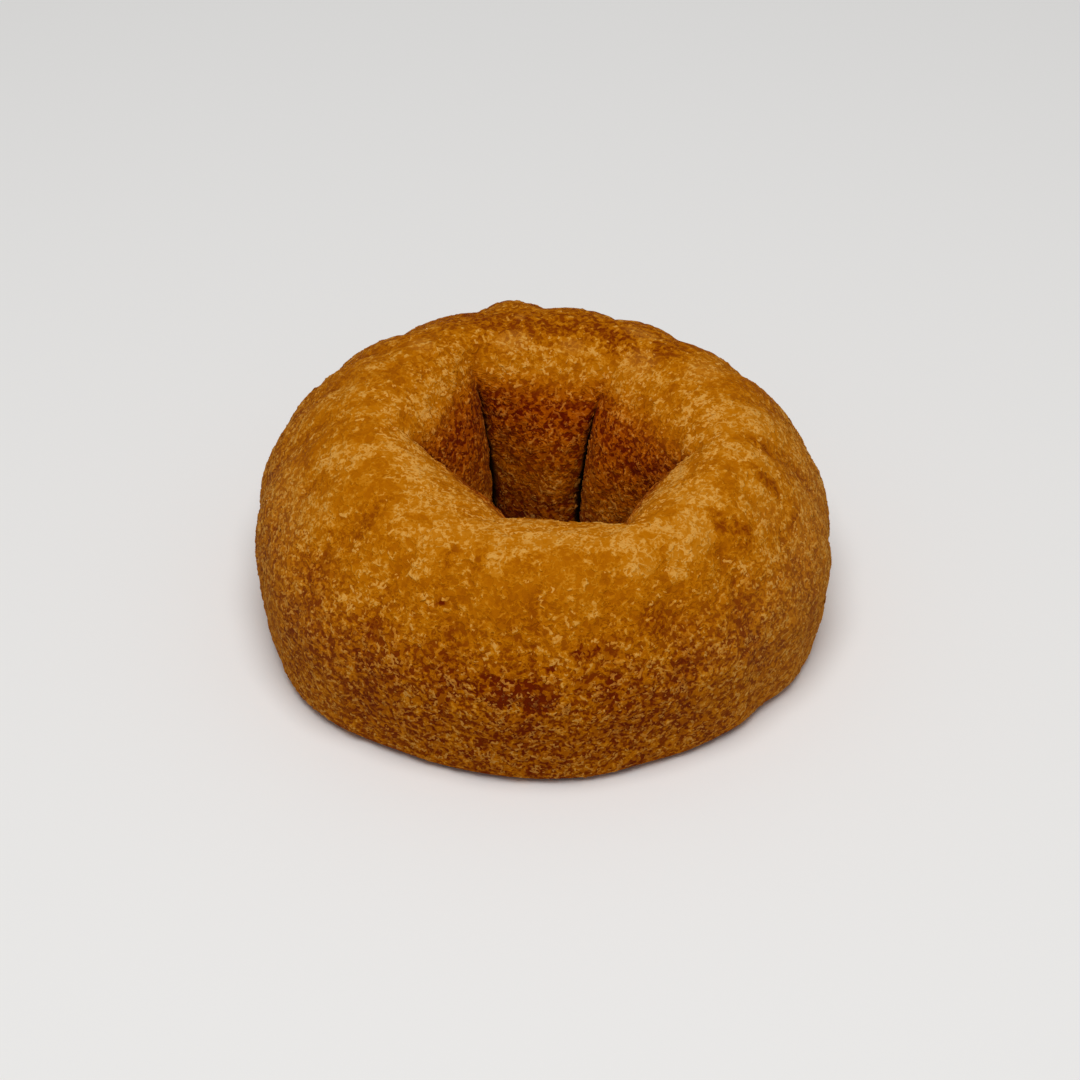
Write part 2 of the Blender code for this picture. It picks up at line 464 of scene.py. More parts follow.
class Graph:
    """Adds linked nodes to a shader or geometry node tree."""

    def __init__(self, tree: bpy.types.NodeTree) -> None:
        """Keeps the tree that the nodes go into."""
        self.tree = tree

    def add(self, kind: str, inputs: dict | None = None, **settings: object) -> bpy.types.Node:
        """Adds a node.

        Args:
            kind: the node's type name.
            inputs: a value or a socket for each input, by its name, number or identifier.
            **settings: the node's own properties.

        Returns:
            The node.
        """
        node = self.tree.nodes.new(kind)
        for name, value in settings.items():
            setattr(node, name, value)
        for key, value in (inputs or {}).items():
            self.put(self.socket(node, key), value)
        return node

    def put(self, socket: Socket, value: object) -> None:
        """Fills an input.

        Args:
            socket: the input.
            value: a socket to link to it, or the value to set it to.
        """
        if isinstance(value, bpy.types.NodeSocket):
            self.tree.links.new(value, socket)
        else:
            socket.default_value = value

    @staticmethod
    def socket(node: bpy.types.Node, key: int | str) -> Socket:
        """Finds an input.

        Args:
            node: the node.
            key: the input's number, its identifier or its name.

        Returns:
            The input.
        """
        if isinstance(key, str):
            for socket in node.inputs:
                if socket.identifier == key:
                    return socket
        return node.inputs[key]

    def math(self, operation: str, *values: object, clamp: bool = False) -> Socket:
        """A Math node's result.

        Args:
            operation: what it does.
            *values: its inputs, as numbers or sockets.
            clamp: whether the result is kept between 0 and 1.

        Returns:
            The result.
        """
        node = self.add("ShaderNodeMath", dict(enumerate(values)), operation=operation)
        node.use_clamp = clamp
        return node.outputs[0]

    def less(self, value: object, amount: object) -> Socket:
        """A value less an amount."""
        return self.math("SUBTRACT", value, amount)

    def total(self, *values: object) -> Socket:
        """The sum of several values, each a number or a socket."""
        return self._joined("ADD", values)

    def product(self, *values: object) -> Socket:
        """The product of several values, each a number or a socket."""
        return self._joined("MULTIPLY", values)

    def _joined(self, operation: str, values: tuple[object, ...]) -> Socket:
        """Takes several values together, one after the other.

        Args:
            operation: what each Math node does.
            values: the values.

        Returns:
            The result.
        """
        result = values[0]
        for value in values[1:]:
            result = self.math(operation, result, value)
        return result

    def weighed(
        self, sockets: bpy.types.NodeOutputs, shares: tuple[tuple[str, float], ...]
    ) -> list[Socket]:
        """Each named socket times its share."""
        return [self.product(sockets[name], share) for name, share in shares]

    def vector(self, operation: str, *values: object, scale: object = None) -> Socket:
        """A Vector Math node's vector.

        Args:
            operation: what it does.
            *values: its vectors, as numbers or sockets.
            scale: what it scales by, if it does.

        Returns:
            The vector.
        """
        node = self.add("ShaderNodeVectorMath", dict(enumerate(values)), operation=operation)
        if scale is not None:
            self.put(node.inputs["Scale"], scale)
        return node.outputs["Vector"]

    def stepped(self, value: Socket, edge: Span, low: float = 0.0, high: float = 1.0) -> Socket:
        """A smooth step of a value.

        Args:
            value: the value.
            edge: where the step starts and ends.
            low: the result at its start.
            high: the result at its end.

        Returns:
            The result.
        """
        inputs = dict(enumerate((value, edge.start, edge.end, low, high)))
        return self.add("ShaderNodeMapRange", inputs, interpolation_type="SMOOTHSTEP").outputs[0]

    def noise(
        self, place: Socket, pattern: Pattern, size: Socket | None = None, seed: Socket | None = None
    ) -> bpy.types.Node:
        """A noise texture.

        Args:
            place: where it is read.
            pattern: its size, its octaves and its seed.
            size: what gives the size in the pattern's stead.
            seed: what gives the seed in the pattern's stead.

        Returns:
            The node, whose first output is the value and second the colour.
        """
        scale = 1.0 / pattern.size if size is None else self.math("DIVIDE", 1.0, size)
        return self.add("ShaderNodeTexNoise", {
            "Vector": place, "W": pattern.seed if seed is None else seed, "Scale": scale,
            "Detail": pattern.detail, "Roughness": pattern.roughness, "Distortion": pattern.warp,
        }, noise_dimensions="4D")

    def mixed(self, share: object, first: object, second: object) -> Socket:
        """Two colours mixed by a share.

        Args:
            share: how much of the second colour there is.
            first: the first colour.
            second: the second colour.

        Returns:
            The mixed colour.
        """
        inputs = {"Factor_Float": share, "A_Color": first, "B_Color": second}
        outputs = self.add("ShaderNodeMix", inputs, data_type="RGBA").outputs
        return next(output for output in outputs if output.identifier == "Result_Color")

    def carried(self, trait: Trait) -> Socket:
        """A trait of the geometry, in a geometry node tree."""
        inputs = {"Name": trait.value}
        return self.add("GeometryNodeInputNamedAttribute", inputs, data_type="FLOAT").outputs[0]


def start_tree(
    kind: str, name: str, subject: str, numbers: dict[str, float], results: tuple[str, ...]
) -> tuple[Graph, bpy.types.NodeOutputs]:
    """Starts a node tree with named inputs and outputs.

    Args:
        kind: the tree's type name.
        name: the tree's name.
        subject: the name of its first input, the place or the geometry that it works on.
        numbers: its number inputs, each with its own value.
        results: the names of its outputs.

    Returns:
        The tree's graph, and the sockets of its inputs.
    """
    tree = bpy.data.node_groups.new(name, kind)

    def socket(label: str, side: str) -> bpy.types.NodeTreeInterfaceSocket:
        """A new input or output, of the kind that its name asks for."""
        kind_of_socket = SOCKET_KINDS.get(label, "NodeSocketFloat")
        return tree.interface.new_socket(label, in_out=side, socket_type=kind_of_socket)

    socket(subject, "INPUT")
    for label, value in numbers.items():
        socket(label, "INPUT").default_value = value
    for label in results:
        socket(label, "OUTPUT")
    graph = Graph(tree)
    return graph, graph.add("NodeGroupInput").outputs


def rgba(colour: Colour) -> tuple[float, float, float, float]:
    """A colour with full alpha."""
    return (*colour, 1.0)


@dataclass(frozen=True)
class FriedGrain:
    """The crust's grain, a node group.

    Attributes:
        bends: what bends the other patterns.
        mottle: the broadest mottling, which goes on down to specks.
        skin: the pieces of the pale outer skin.
        curls: the thin curls of crust, which run along the middle of this pattern's range.
        coarse_curls: the thicker curls of the wall and the hole.
        fine: what the flecks stand in, and what breaks the thin curls up.
        skin_edge: where in its pattern the skin begins, and where it is whole.
        coarse_edge: the same for the thicker curls.
        fleck_edge: the same for the flecks.
        curl_edge: how far from the middle of the range a thin curl ends, and where it is whole.
        curl_gaps: where in the fine pattern the thin curls begin, and where they are whole.
        bend: how far the patterns are bent, in metres.
        flattening: how much lower than wide each mark is on an upright wall.
        name: the group's name.
    """

    bends: Pattern = Pattern(0.0011, 2.0, 0.60, seed=3.1)
    mottle: Pattern = Pattern(0.0024, 3.0, 0.70, 0.25, 2.2)
    skin: Pattern = Pattern(0.0055, 6.0, 0.58, 0.30, 6.4)
    curls: Pattern = Pattern(0.00074, 1.2, 0.60, 0.40, 7.7)
    coarse_curls: Pattern = Pattern(0.00080, 0.8, 0.50, 0.50, 4.4)
    fine: Pattern = Pattern(0.00115, 2.5, 0.60, 0.60, 5.9)
    skin_edge: Span = Span(0.475, 0.525)
    coarse_edge: Span = Span(0.45, 0.575)
    fleck_edge: Span = Span(0.58, 0.66)
    curl_edge: Span = Span(0.12, 0.03)
    curl_gaps: Span = Span(0.42, 0.53)
    bend: float = 0.00030
    flattening: float = 1.10
    name: str = "fried_grain"

    def group(self) -> bpy.types.NodeTree:
        """Makes the group, once: Place, Skin Bias and the sizes go in, and six masks come out.

        Returns:
            The group.
        """
        known = bpy.data.node_groups.get(self.name)
        if known:
            return known
        graph, given = start_tree("ShaderNodeTree", self.name, "Place", {
            "Skin Bias": 0.0, "Mottle Size": self.mottle.size, "Skin Size": self.skin.size,
            "Curl Size": self.curls.size, "Coarse Curl Size": self.coarse_curls.size,
            "Fleck Size": self.fine.size, "Bend": self.bend,
        }, ("Mottle", "Skin", "Curls", "Coarse Curls", "Flecks", "Fine"))
        flat = graph.vector("MULTIPLY", given["Place"], (1.0, 1.0, self.flattening))
        bend = graph.noise(flat, self.bends).outputs["Color"]
        bend = graph.vector("SUBTRACT", bend, (MIDDLE, MIDDLE, MIDDLE))
        place = graph.vector("ADD", flat, graph.vector("SCALE", bend, scale=given["Bend"]))

        def read(pattern: Pattern, size: str) -> Socket:
            """A pattern at the bent place, at the size that the group is given."""
            return graph.noise(place, pattern, given[size]).outputs[0]

        skin = graph.total(read(self.skin, "Skin Size"), given["Skin Bias"])
        fine = read(self.fine, "Fleck Size")
        ridge = graph.math("ABSOLUTE", graph.less(read(self.curls, "Curl Size"), MIDDLE))
        graph.add("NodeGroupOutput", {
            "Mottle": read(self.mottle, "Mottle Size"),
            "Skin": graph.stepped(skin, self.skin_edge),
            "Curls": graph.product(
                graph.stepped(ridge, self.curl_edge), graph.stepped(fine, self.curl_gaps)
            ),
            "Coarse Curls": graph.stepped(
                read(self.coarse_curls, "Coarse Curl Size"), self.coarse_edge
            ),
            "Flecks": graph.stepped(fine, self.fleck_edge),
            "Fine": fine,
        })
        return graph.tree


@dataclass(frozen=True)
class CrustTone:
    """The crust's colours, a node group: a tone from darkest to palest, and a colour for each tone.

    Crust on the wall and in the hole is coarse. A loss is the share of an effect that it takes away.

    Attributes:
        tones: the colours, from the darkest pit to the palest skin, each with its place on the scale.
        level: the tone of bare crust.
        mottle, mottle_loss: how far the mottling moves the tone, and its loss.
        skin, skin_loss: the same for the pale skin.
        blotches, blotch_loss, blotch: the same for broad blotches, and their pattern.
        curls, curls_off_skin: how far thin curls move it, and the share of that where there is no skin.
        curl_cover, coarse_cover: about what share of the crust each kind of curl covers.
        coarse_curls, coarse_curls_anywhere: how far thicker curls move coarse crust, and all crust.
        flecks: how far the flecks move it.
        traits: how far each trait moves it; browning and the hole darken it, partly as painted shade.
        fried: how far the dark spots do.
        fried_edge, fried_least: where in the mottling a spot fades, and what is left of it there.
        fried_on_curls: what is left of a spot on the thicker curls.
        crumb, crumb_evens: how far a loose crumb's tint moves it, and how much grain a full tint hides.
        skin_bias: how much more skin each trait brings.
        hole_shade_tint: what the hole's colours are multiplied by, a painted shade that deepens them to
            red-brown.
        dust, dust_and_painted_sheen: how strongly crumb on the darker crust is dusted, and how strongly
            its pale parts are, which on the left and right sides is a painted sheen.
        dust_and_sheen_colour: the colour of the dust and of the painted sheen.
        heights: each mask's share of the grain's height.
        roughness: the roughness off the skin and on it.
        name: the group's name.
    """

    tones: tuple[tuple[float, Colour], ...] = (
        (0.00, (0.130, 0.0120, 0.0002)),
        (0.18, (0.215, 0.0370, 0.0002)),
        (0.36, (0.310, 0.0760, 0.0003)),
        (0.52, (0.412, 0.1160, 0.0004)),
        (0.66, (0.485, 0.1510, 0.0012)),
        (0.80, (0.560, 0.2080, 0.0110)),
        (1.00, (0.680, 0.3250, 0.0600)),
    )
    level: float = 0.59
    mottle: float = 0.47
    mottle_loss: float = 0.8
    skin: float = 0.155
    skin_loss: float = 0.5
    blotches: float = 0.23
    blotch_loss: float = 0.5
    blotch: Pattern = Pattern(0.0060, 2.0, 0.55, 0.4, 11.0)
    curls: float = 0.25
    curls_off_skin: float = 0.75
    curl_cover: float = 0.30
    coarse_curls: float = 0.42
    coarse_curls_anywhere: float = 0.05
    coarse_cover: float = 0.45
    flecks: float = 0.24
    # Browning and the hole darken the tone, partly as painted shade.
    traits: tuple[tuple[str, float], ...] = (
        (Trait.PALE.value, 0.035), (Trait.GROOVE.value, -0.09),
        (Trait.BROWNED_AND_SHADED.value, -0.465), (Trait.HOLE.value, -0.19),
    )
    fried: float = -0.62
    fried_edge: Span = Span(0.66, 0.48)
    fried_least: float = 0.15
    fried_on_curls: float = 0.5
    crumb: float = 0.40
    crumb_evens: float = 0.5
    skin_bias: tuple[tuple[str, float], ...] = (
        (Trait.PALE.value, 0.25), (Trait.GROOVE.value, -0.10), (Trait.BARE.value, -0.23),
        (Trait.BROWNED_AND_SHADED.value, -0.05), (Trait.HOLE.value, -0.09),
    )
    hole_shade_tint: Colour = (0.95, 0.66, 0.35)
    dust: float = 0.6
    dust_and_painted_sheen: float = 0.42
    dust_and_sheen_colour: Colour = (0.50, 0.235, 0.052)
    heights: tuple[tuple[str, float], ...] = (
        ("Skin", 0.14), ("Curls", 0.16), ("Flecks", 0.20), ("Coarse Curls", 0.25), ("Fine", 0.4),
    )
    roughness: tuple[float, float] = (0.74, 0.92)
    name: str = "crust_tone"

    def group(self) -> bpy.types.NodeTree:
        """Makes the group, once: Place and the traits go in; Colour, Height and Roughness come out.

        Returns:
            The group.
        """
        known = bpy.data.node_groups.get(self.name)
        if known:
            return known
        graph, given = start_tree(
            "ShaderNodeTree", self.name, "Place", {trait.value: 0.0 for trait in TONED},
            ("Colour", "Height", "Roughness"),
        )
        browned, _, pale, hole, _, fried, crumb = (given[trait.value] for trait in TONED)
        masks = graph.add("ShaderNodeGroup", {
            "Place": given["Place"],
            "Skin Bias": graph.total(*graph.weighed(given, self.skin_bias)),
        }, node_tree=FriedGrain().group()).outputs
        coarse = graph.math("MAXIMUM", browned, hole, clamp=True)
        plain = graph.math("SUBTRACT", 1.0, graph.product(crumb, self.crumb_evens), clamp=True)
        tone = self._tone(graph, given, masks, coarse, plain, fried, crumb)
        ramp = graph.add("ShaderNodeValToRGB", {0: tone})
        stops = ramp.color_ramp.elements
        while len(stops) < len(self.tones):
            stops.new(1.0)
        for stop, (at, colour) in zip(stops, self.tones):
            stop.position, stop.color = at, rgba(colour)
        # The hole's colours are deepened to red-brown, partly a painted shade.
        reddened = graph.vector("MULTIPLY", ramp.outputs[0], self.hole_shade_tint)
        colour = graph.mixed(hole, ramp.outputs[0], reddened)
        # Crumb on the darker crust is dusted, and so are its pale parts; on the left and right sides that
        # pale mix is a painted sheen.
        dust_and_sheen = graph.total(graph.product(crumb, crumb, self.dust), graph.product(pale, self.dust_and_painted_sheen))
        graph.add("NodeGroupOutput", {
            "Colour": graph.mixed(graph.product(dust_and_sheen, browned), colour, rgba(self.dust_and_sheen_colour)),
            "Height": graph.total(*graph.weighed(masks, self.heights)),
            "Roughness": graph.stepped(masks["Skin"], WHOLE, *self.roughness),
        })
        return graph.tree

    def _tone(
        self, graph: Graph, given: bpy.types.NodeOutputs, masks: bpy.types.NodeOutputs,
        coarse: Socket, plain: Socket, fried: Socket, crumb: Socket,
    ) -> Socket:
        """Adds up all that moves the tone.

        Args:
            graph: the group's graph.
            given: the group's inputs.
            masks: the grain's masks.
            coarse: how coarse the crust is.
            plain: how much of the grain a crumb's tint leaves.
            fried: how strong the dark spots are.
            crumb: the crumb's tint.

        Returns:
            The tone.
        """
        def muted(share: float, loss: float) -> Socket:
            """A share less its loss on coarse crust."""
            return graph.less(share, graph.product(coarse, loss * share))

        curling = graph.total(
            self.curls_off_skin, graph.product(masks["Skin"], 1.0 - self.curls_off_skin)
        )
        coarsening = graph.total(
            self.coarse_curls_anywhere, graph.product(coarse, self.coarse_curls)
        )
        curled = graph.total(
            graph.product(
                graph.less(masks["Curls"], self.curl_cover), graph.product(curling, self.curls)
            ),
            graph.product(graph.less(masks["Coarse Curls"], self.coarse_cover), coarsening),
        )
        spots = graph.product(
            fried, plain, graph.stepped(masks["Mottle"], self.fried_edge, self.fried_least),
            graph.stepped(masks["Coarse Curls"], WHOLE, 1.0, self.fried_on_curls),
        )
        blotch = graph.noise(given["Place"], self.blotch).outputs[0]
        return graph.total(
            self.level,
            graph.product(graph.less(masks["Mottle"], MIDDLE), muted(self.mottle, self.mottle_loss)),
            graph.product(masks["Skin"], muted(self.skin, self.skin_loss)),
            graph.product(plain, curled),
            graph.product(masks["Flecks"], self.flecks),
            graph.product(graph.less(blotch, MIDDLE), muted(self.blotches, self.blotch_loss)),
            *graph.weighed(given, self.traits),
            graph.product(spots, self.fried),
            graph.product(crumb, self.crumb),
        )


@dataclass(frozen=True)
class CrustFinish:
    """The fried crust's material, or its loose crumb's.

    Attributes:
        crumb: whether it is the crumb's.
        crease_shadow_colour: the painted black shadow deep in a crease.
        gloss: the specular level.
        haze: how strong the dusty sheen is.
        haze_colour: the sheen's colour.
        haze_roughness: how broad the sheen is.
        bump_depth: how deep the fine grain is, in metres.
        name: the material's name.
    """

    crumb: bool = False
    crease_shadow_colour: Colour = (0.006, 0.002, 0.001)
    gloss: float = 0.010
    haze: float = 0.028
    haze_colour: Colour = (1.0, 0.62, 0.20)
    haze_roughness: float = 0.5
    bump_depth: float = 0.00022
    name: str = "fried_crust"

    def material(self) -> bpy.types.Material:
        """Makes the material, by the traits and object coordinates.

        Returns:
            The material.
        """
        material = bpy.data.materials.new(self.name)
        material.use_nodes = True
        graph = Graph(material.node_tree)
        traits = {
            trait.value: graph.add("ShaderNodeAttribute", attribute_name=trait.value).outputs["Fac"]
            for trait in TONED + (Trait.CREASE,) if self.crumb or trait is not Trait.CRUMB
        }
        # A painted black shadow deep in the creases.
        crease = traits.pop(Trait.CREASE.value)
        traits["Place"] = graph.add("ShaderNodeTexCoord").outputs["Object"]
        tone = graph.add("ShaderNodeGroup", traits, node_tree=CrustTone().group()).outputs
        settings = {
            "Base Color": graph.mixed(crease, tone["Colour"], rgba(self.crease_shadow_colour)),
            "Roughness": tone["Roughness"],
            "Specular IOR Level": self.gloss,
            "Sheen Weight": self.haze,
            "Sheen Roughness": self.haze_roughness,
            "Sheen Tint": rgba(self.haze_colour),
        }
        if not self.crumb:
            settings["Normal"] = graph.add("ShaderNodeBump", {
                "Height": tone["Height"], "Strength": 1.0, "Distance": self.bump_depth,
            }).outputs[0]
        shader = material.node_tree.nodes["Principled BSDF"]
        for name, value in settings.items():
            graph.put(shader.inputs[name], value)
        return material


@dataclass(frozen=True)
class Patch:
    """An oval patch on the crust, where the photograph shows one.

    Attributes:
        degrees: its middle, round the ring.
        turn: its middle, round the section.
        along: half its width round the ring, in metres.
        across: half its height, across the ring.
        strength: how strong it is in the middle.
    """

    degrees: float
    turn: float
    along: float
    across: float
    strength: float = 1.0


@dataclass(frozen=True)
class CrustMarks:
    """Where the photograph shows the crust darker, barer or paler than its surroundings."""

    fried: tuple[Patch, ...] = (
        Patch(263.0, 14.5, 0.0044, 0.0021, 1.0), Patch(269.5, 9.0, 0.0024, 0.0014, 0.9),
        Patch(279.0, 34.0, 0.0022, 0.0014, 0.55), Patch(272.5, 25.0, 0.0010, 0.0008, 0.5),
        Patch(246.8, 51.0, 0.0007, 0.0007, 1.0), Patch(212.3, 58.0, 0.0007, 0.0018, 0.5),
        Patch(244.4, 67.0, 0.0014, 0.0042, 0.25), Patch(294.0, 44.0, 0.0020, 0.0032, 0.3),
        Patch(319.5, 72.0, 0.0014, 0.0022, 0.45), Patch(322.5, 61.0, 0.0016, 0.0024, 0.45),
        Patch(341.2, 66.0, 0.0012, 0.0030, 0.40), Patch(352.8, 75.0, 0.0009, 0.0028, 0.35),
        Patch(341.2, 41.0, 0.0030, 0.0008, 0.35), Patch(218.0, 72.0, 0.0016, 0.0042, 0.30),
        Patch(251.0, 74.0, 0.0010, 0.0012, 0.2),
        Patch(95.0, 84.0, 0.0180, 0.0055, 0.22), Patch(62.0, 92.0, 0.0080, 0.0040, 0.32),
    )
    bare: tuple[Patch, ...] = (
        Patch(210.7, 77.0, 0.0042, 0.0044), Patch(229.5, 85.0, 0.0028, 0.0009),
        Patch(218.0, 72.0, 0.0022, 0.0046), Patch(195.9, 63.0, 0.0006, 0.0016),
        Patch(272.0, 73.0, 0.0080, 0.0042), Patch(244.4, 67.0, 0.0016, 0.0044),
        Patch(278.7, 40.0, 0.0036, 0.0030), Patch(294.0, 44.0, 0.0022, 0.0032),
        Patch(319.5, 72.0, 0.0016, 0.0026), Patch(322.5, 61.0, 0.0018, 0.0028),
        Patch(341.2, 66.0, 0.0014, 0.0034), Patch(352.8, 75.0, 0.0011, 0.0032),
        Patch(341.2, 41.0, 0.0032, 0.0009), Patch(356.1, 69.0, 0.0007, 0.0019),
        Patch(172.8, 83.0, 0.0005, 0.0032), Patch(180.5, 84.0, 0.0005, 0.0032),
        Patch(260.0, 50.0, 0.0060, 0.0030, 0.7),
    )
    pale: tuple[Patch, ...] = (
        Patch(195.9, 78.0, 0.0022, 0.0036), Patch(207.0, 57.0, 0.0013, 0.0013),
        Patch(205.4, 105.0, 0.0024, 0.0026), Patch(216.0, 99.0, 0.0026, 0.0020),
        Patch(192.2, 40.0, 0.0110, 0.0050, 0.6), Patch(176.5, 84.0, 0.0006, 0.0034),
        Patch(135.6, 88.0, 0.0018, 0.0018), Patch(101.2, 104.0, 0.0026, 0.0018),
        Patch(99.2, 86.0, 0.0008, 0.0008), Patch(46.3, 107.0, 0.0028, 0.0026),
        Patch(30.5, 88.0, 0.0026, 0.0030), Patch(60.0, 85.0, 0.0030, 0.0014),
        Patch(81.1, 106.0, 0.0018, 0.0013), Patch(1.9, 74.0, 0.0026, 0.0028),
        Patch(346.4, 72.0, 0.0022, 0.0030), Patch(334.2, 59.0, 0.0030, 0.0030),
        Patch(322.0, 94.0, 0.0024, 0.0036), Patch(313.5, 76.0, 0.0032, 0.0030),
        Patch(344.7, 28.0, 0.0110, 0.0050, 0.7), Patch(254.8, 90.0, 0.0020, 0.0022),
        Patch(294.0, 72.0, 0.0030, 0.0019), Patch(301.2, 61.0, 0.0009, 0.0015),
        Patch(265.0, 97.0, 0.0170, 0.0036, 0.65),
    )
    edge: Span = Span(0.5, 1.3)

    def strength(self, form: RingForm, surface: Surface, patches: tuple[Patch, ...]) -> np.ndarray:
        """How strong some patches are.

        Args:
            form: the doughnut's form.
            surface: the points.
            patches: the patches.

        Returns:
            The strength of the strongest patch at each point.
        """
        strongest = np.zeros(len(surface.place))
        for patch in patches:
            spot = form.spot(patch.degrees, patch.turn)
            away = surface.place - spot
            angle = math.atan2(spot[1], spot[0])
            along = -math.sin(angle) * away[:, 0] + math.cos(angle) * away[:, 1]
            across = np.sqrt(np.maximum((away**2).sum(axis=1) - along**2, 0.0))
            oval = np.hypot(along / patch.along, across / patch.across)
            strongest = np.maximum(strongest, patch.strength * self.edge.faded(oval))
        return strongest


@dataclass(frozen=True)
class CrustZones:
    """How the crust's zones are browned, painted with shade and painted with a pale sheen, by the height
    and by the turn round the section.

    Attributes:
        wall_top: the heights over which the darker wall, browned and painted with shade from the light
            above, gives way to the paler shoulder.
        wall_lift: how much higher that is on the left and right.
        sides_power: how quickly the left and right give way to the front and back.
        inside: the turns of the hole's whole surface.
        wall_foot: the turns over which the base gives way to the wall.
        hole, hole_softens: the turns of the hole's darker wall, browned and painted with shade, and where
            it is darkened less.
        hole_softening: how much less.
        crease_reach, crease_widening: half the width of the painted black shadow in a crease, and how much
            it grows.
        crease_widens, crease_edge: the turns over which it grows, and its edge as shares of its reach.
        crease_shade_reach: how far from a crease the crust is darkened more, a painted shade beside it.
        throat: the turns of the throat, which is darkened most, a painted shade deep in the hole.
        back, back_crest: where the back's crest is darkened, a painted shade away from the light, as the
            sine round the ring, and the turns.
        mouth: the turns of the hole's rim.
        wall_browning_and_shade, and so on: how much each zone is darkened, by browning and by painted
            shade.
        side_shade_loss, side_painted_sheen: how much less the wall is darkened on the left and right, and
            how pale a sheen is painted there.
        right_painted_light, right_painted_sheen: how much more than that on the right, and less than that
            on the left, which paints the right side lighter.
        crumb_least, crumb_mouth: the share of the loose crumb that lies anywhere, and on the rim.
        inside_loss, bare_loss, fried_loss: how much less of it lies in those places.
        relief_grows, crumb_grows: the heights over which the relief and the loose crumb begin.
    """

    wall_top: Span = Span(0.0147, 0.0291)
    wall_lift: float = 0.0035
    sides_power: int = 3
    inside: Band = Band(Span(100.0, 150.0), Span(285.0, 300.0))
    wall_foot: Span = Span(-78.0, -64.0)
    hole: Band = Band(Span(116.0, 140.0), Span(225.0, 250.0))
    hole_softens: Span = Span(135.0, 170.0)
    hole_softening: float = 0.5
    crease_reach: float = 0.00022
    crease_widening: float = 0.00030
    crease_widens: Span = Span(140.0, 180.0)
    crease_edge: Span = Span(0.6, 1.3)
    crease_shade_reach: float = 0.0016
    throat: Band = Band(Span(165.0, 177.0), Span(225.0, 250.0))
    back: Span = WHOLE
    back_crest: Band = Band(Span(20.0, 60.0), Span(100.0, 125.0))
    mouth: Band = Band(Span(92.0, 104.0), Span(120.0, 132.0))
    wall_browning_and_shade: float = 0.75
    base_browning: float = 0.35
    hole_browning_and_shade: float = 0.33
    crease_side_shade: float = 0.25
    throat_shade: float = 0.5
    back_shade: float = 0.36
    side_shade_loss: float = 0.25
    right_painted_light: float = 0.10
    side_painted_sheen: float = 0.62
    right_painted_sheen: float = 0.2
    crumb_least: float = 0.03
    crumb_mouth: float = 0.55
    inside_loss: float = 0.3
    bare_loss: float = 0.4
    fried_loss: float = 0.2
    relief_grows: Span = Span(0.0002, 0.0030)
    crumb_grows: Span = Span(0.0006, 0.0022)

    def traits(
        self, surface: Surface, fried: np.ndarray, bare: np.ndarray, pale: np.ndarray
    ) -> dict[Trait, np.ndarray]:
        """All that the crust's vertices carry.

        Args:
            surface: the vertices.
            fried: how strong the dark patches are there.
            bare: how strong the bare patches are.
            pale: how strong the pale patches are.

        Returns:
            Each trait's value at each vertex.
        """
        height, turn, gap = surface.place[:, 2], surface.turn, surface.crease_gap
        outside = np.where(turn > 180.0, turn - 360.0, turn)
        rightward = np.cos(np.radians(surface.around))
        sideways = np.abs(rightward) ** self.sides_power
        wall = self.wall_top.faded(height - self.wall_lift * sideways)
        inside = self.inside.within(turn)
        hole = self.hole.within(turn) * (1.0 - self.hole_softening * self.hole_softens.grown(turn))
        reach = self.crease_reach + self.crease_widening * self.crease_widens.grown(turn)
        # A painted black shadow in each crease of the hole, and painted shade beside it.
        crease = self.crease_edge.faded(gap / reach) * surface.folded
        beside_crease_shade = np.clip(1.0 - gap / self.crease_shade_reach, 0.0, 1.0) * surface.folded
        behind = self.back.grown(np.sin(np.radians(surface.around)))

        # The wall is painted lighter on the left and right, and more so on the right, as painted light.
        kept = 1.0 - (self.side_shade_loss + self.right_painted_light * rightward) * sideways
        # Darker towards the bottom of the wall: partly browning, partly painted shade from the light
        # above.
        browned = self.wall_browning_and_shade * wall * kept * (1.0 - inside)
        browned += self.base_browning * self.wall_foot.faded(outside)
        # The hole, the crust beside its creases and its throat are darker: painted shade in the hole,
        # partly browning.
        browned += (
            self.hole_browning_and_shade * hole + self.crease_side_shade * beside_crease_shade
            + self.throat_shade * self.throat.within(turn)
        )
        # The back's crest is darkened, a painted shade away from the light.
        crest = self.back_crest
        browned += self.back_shade * behind * crest.grows.grown(turn) * crest.fades.faded(turn)
        # A pale painted sheen on the left and right of the wall.
        dust_and_painted_sheen = (self.side_painted_sheen + self.right_painted_sheen * rightward) * sideways * wall * (1.0 - inside)

        crumbed = np.clip(np.maximum(wall, hole) * (1.0 - self.inside_loss * inside), 0.0, 1.0)
        crumbed = self.crumb_least + (1.0 - self.crumb_least) * crumbed
        crumbed = np.maximum(crumbed, self.crumb_mouth * self.mouth.within(turn))
        crumbed = crumbed * (1.0 - self.bare_loss * bare) * (1.0 - self.fried_loss * fried)
        return {
            Trait.FREE: self.relief_grows.grown(height),
            Trait.BROWNED_AND_SHADED: np.clip(browned, 0.0, 1.0),
            Trait.BARE: bare,
            Trait.PALE: np.maximum(pale, dust_and_painted_sheen),
            Trait.HOLE: hole,
            Trait.CREASE: crease,
            Trait.GROOVE: surface.fluted * (1.0 - surface.crest) ** 2,
            Trait.FRIED: fried,
            Trait.CRUMBED: crumbed * self.crumb_grows.grown(height) * (1.0 - crease),
        }


@dataclass(frozen=True)
class Relief:
    """One kind of relief on the crust.

    Attributes:
        name: the start of its inputs' names.
        pattern: its pattern.
        height: how high it stands from its lowest to its highest, in metres.
        edge: where in its pattern it steps up, if it does.
    """

    name: str
    pattern: Pattern
    height: float
    edge: Span | None = None


